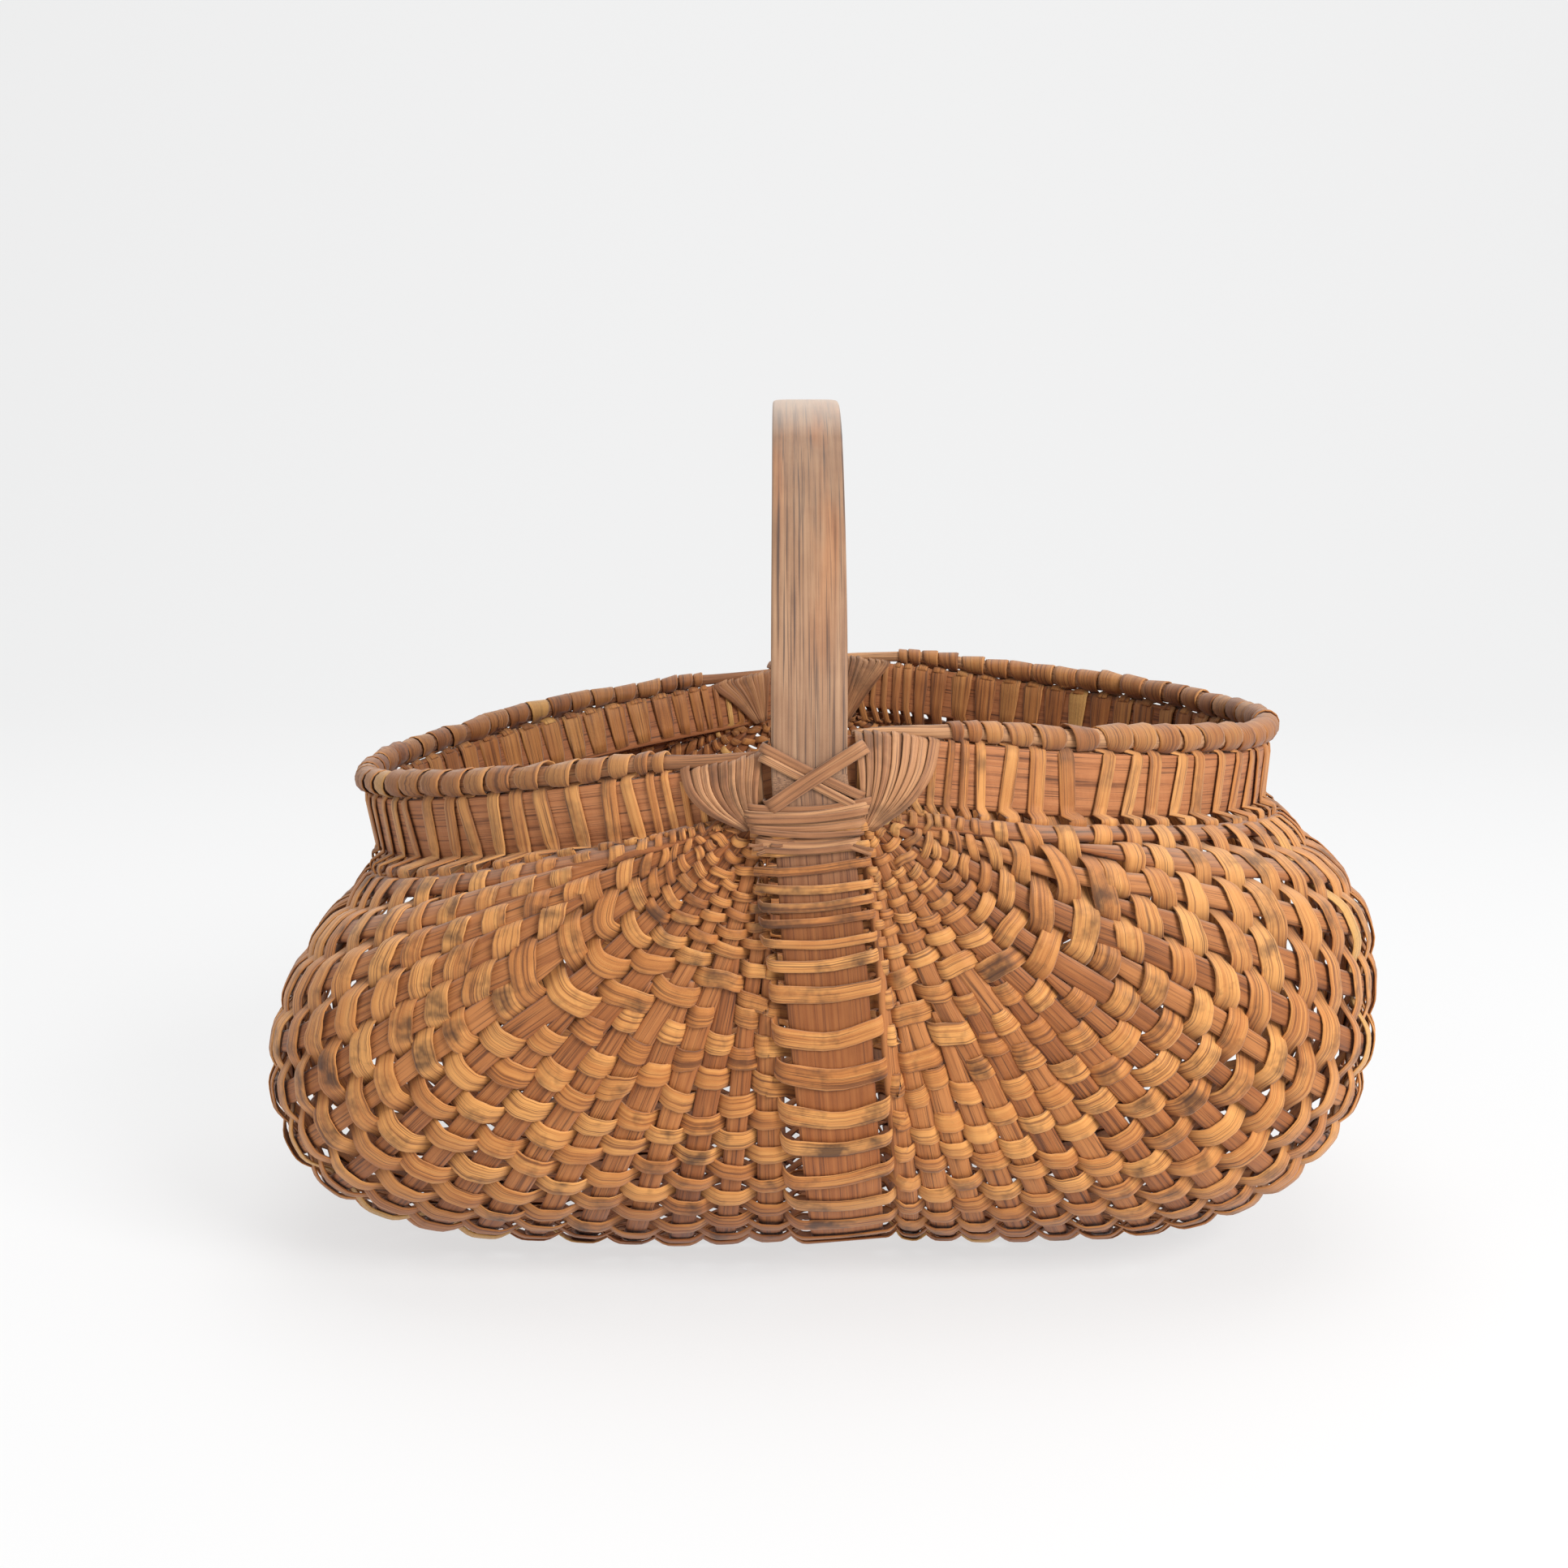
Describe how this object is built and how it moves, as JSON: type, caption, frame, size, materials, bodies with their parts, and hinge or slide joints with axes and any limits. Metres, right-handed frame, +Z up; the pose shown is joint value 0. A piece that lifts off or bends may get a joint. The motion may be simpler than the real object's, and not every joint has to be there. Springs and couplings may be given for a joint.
{
  "type": "splint basket",
  "caption": "Ribbed two-lobed splint gathering basket with a hooped rim, woven belly and fixed overhead handle, for carrying eggs and produce.",
  "frame": {"origin": "centre of the footprint, on the floor the basket rests on", "axes": "+X across the basket along its longest side, +Y from the front ear to the back ear along the handle hoop, +Z up"},
  "size_m": [0.3893, 0.309, 0.2943],
  "materials": {
    "handle_wood": "weathered, bare, worn smooth",
    "rim_wood": "bare, aged brown",
    "rod_wood": "bare, aged",
    "rib_wood": "bare, red brown",
    "weaver_splint": "split oak, honey brown, worn edges",
    "binding_splint": "split oak, aged"
  },
  "bodies": {
    "root": {"handle_hoop": "handle_wood", "rim_hoop": "rim_wood", "rim_rod_left": "rod_wood", "rim_rod_right": "rod_wood", "rib_left_01": "rib_wood", "rib_left_02": "rib_wood", "rib_left_03": "rib_wood", "rib_left_04": "rib_wood", "rib_left_05": "rib_wood", "rib_left_06": "rib_wood", "rib_left_07": "rib_wood", "rib_left_08": "rib_wood", "rib_left_09": "rib_wood", "rib_left_10": "rib_wood", "rib_left_11": "rib_wood", "rib_left_12": "rib_wood", "rib_left_13": "rib_wood", "rib_left_14": "rib_wood", "rib_left_15": "rib_wood", "rib_left_16": "rib_wood", "rib_right_01": "rib_wood", "rib_right_02": "rib_wood", "rib_right_03": "rib_wood", "rib_right_04": "rib_wood", "rib_right_05": "rib_wood", "rib_right_06": "rib_wood", "rib_right_07": "rib_wood", "rib_right_08": "rib_wood", "rib_right_09": "rib_wood", "rib_right_10": "rib_wood", "rib_right_11": "rib_wood", "rib_right_12": "rib_wood", "rib_right_13": "rib_wood", "rib_right_14": "rib_wood", "rib_right_15": "rib_wood", "rib_right_16": "rib_wood", "rib_right_17": "rib_wood", "weavers_01": "weaver_splint", "weavers_02": "weaver_splint", "weavers_03": "weaver_splint", "weavers_04": "weaver_splint", "weavers_05": "weaver_splint", "weavers_06": "weaver_splint", "weavers_07": "weaver_splint", "weavers_08": "weaver_splint", "weavers_09": "weaver_splint", "weavers_10": "weaver_splint", "weavers_11": "weaver_splint", "weavers_12": "weaver_splint", "cross_lashing_near": "binding_splint", "ear_binding_near": "binding_splint", "ear_fan_left_near": "binding_splint", "ear_fan_right_near": "binding_splint", "cross_lashing_far": "binding_splint", "ear_binding_far": "binding_splint", "ear_fan_left_far": "binding_splint", "ear_fan_right_far": "binding_splint"}
  },
  "joints": []
}
